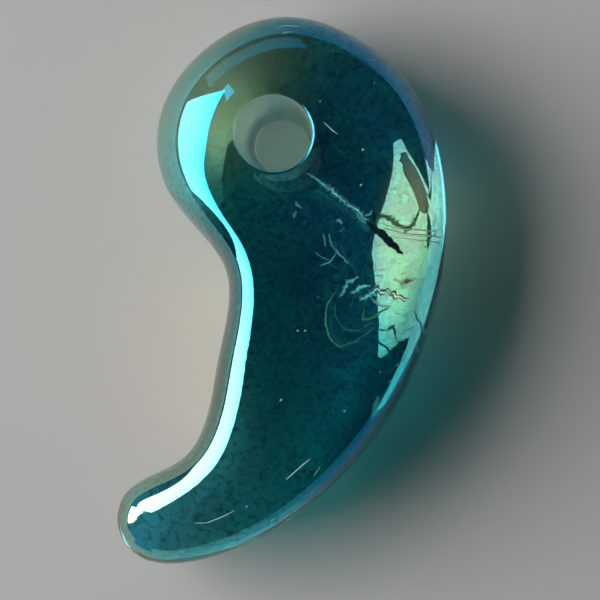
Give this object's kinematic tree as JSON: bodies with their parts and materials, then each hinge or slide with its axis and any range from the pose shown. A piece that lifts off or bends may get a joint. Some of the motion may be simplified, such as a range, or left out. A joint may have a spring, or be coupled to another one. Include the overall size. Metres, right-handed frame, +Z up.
{
  "type": "comma-shaped bead",
  "caption": "One-piece comma-shaped glass bead (magatama) with rounded shoulders, a hooked tail and a tapered cord hole through its head.",
  "frame": {"origin": "on the supporting surface, under the middle of the outline's box", "axes": "+Z up from the underside to the upper face, +Y from the tail towards the round head, +X towards the convex back"},
  "size_m": [0.018, 0.03, 0.009],
  "materials": {
    "bead_body": "polished transparent teal glass with a thin iridescent coating"
  },
  "bodies": {
    "root": {"bead_body": "bead_body"}
  },
  "joints": []
}
